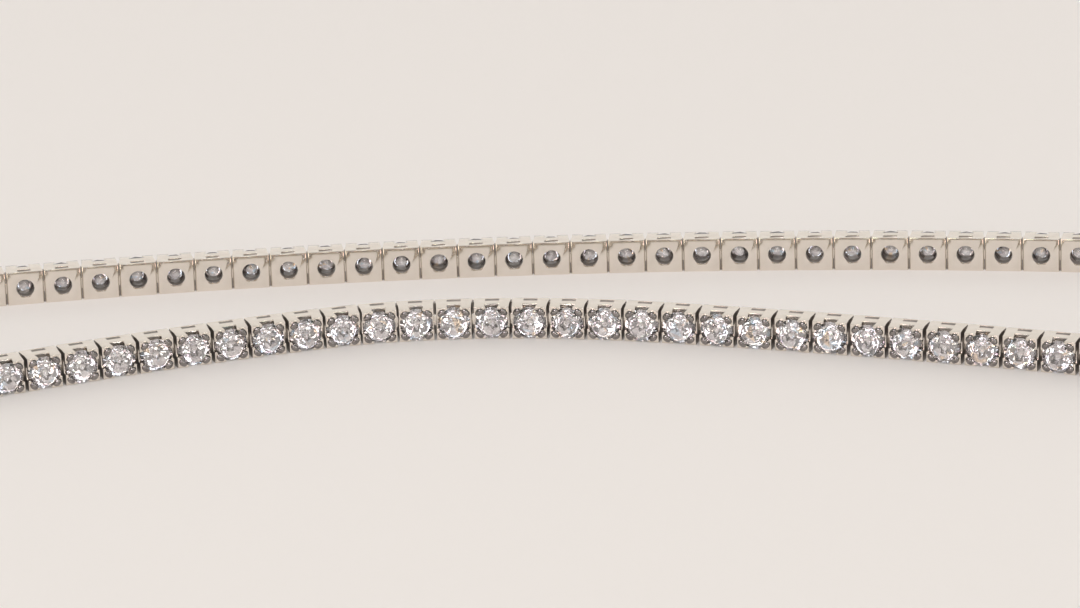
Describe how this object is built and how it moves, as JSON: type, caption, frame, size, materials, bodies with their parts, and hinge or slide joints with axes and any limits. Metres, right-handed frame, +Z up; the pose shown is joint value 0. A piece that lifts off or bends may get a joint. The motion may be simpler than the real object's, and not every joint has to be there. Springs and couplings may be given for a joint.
{
  "type": "tennis bracelet",
  "caption": "Closed flexible bracelet of square four-claw settings, each with a round cut stone, lying on its side as a long narrow loop.",
  "frame": {"origin": "middle of the footprint, on the surface that the bracelet lies on", "axes": "+Z up across the width of the links, +X along the long way of the loop, -Y to the front stretch, whose stones face outward"},
  "size_m": [0.0832, 0.0222, 0.0019],
  "materials": {
    "white_gold": "mirror polished",
    "diamond": "cut and polished facets"
  },
  "bodies": {
    "root": {"front_run": "white_gold", "back_run": "white_gold", "clasp": "white_gold"}
  },
  "joints": []
}
